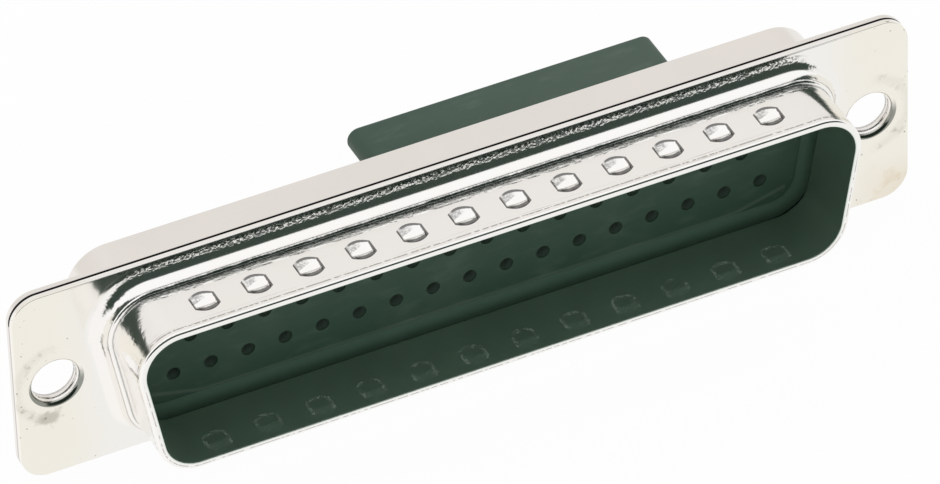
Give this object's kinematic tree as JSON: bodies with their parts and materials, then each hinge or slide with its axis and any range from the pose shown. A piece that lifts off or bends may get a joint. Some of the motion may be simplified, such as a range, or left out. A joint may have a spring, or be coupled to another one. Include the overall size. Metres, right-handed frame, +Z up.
{
  "type": "d-sub plug",
  "caption": "Empty D-shaped cable plug: drawn steel front and rear shells with flange holes and grounding dimples round a moulded insulator with open contact cavities.",
  "frame": {"origin": "middle of the front flange's front face, half way between the mounting holes", "axes": "+X along the flange, +Z up towards the wide side of the D, +Y from the mating side to the cable side"},
  "size_m": [0.067, 0.0143, 0.0154],
  "materials": {
    "front_shell_steel": "tin-plated drawn steel, satin, with specks, scuffs and a warm stain by one hole",
    "rear_shell_steel": "tin-plated drawn steel, satin",
    "insulator_plastic": "green-black moulded thermoplastic, matte"
  },
  "bodies": {
    "root": {"front_shell": "front_shell_steel", "rear_shell": "rear_shell_steel", "insulator": "insulator_plastic"}
  },
  "joints": []
}
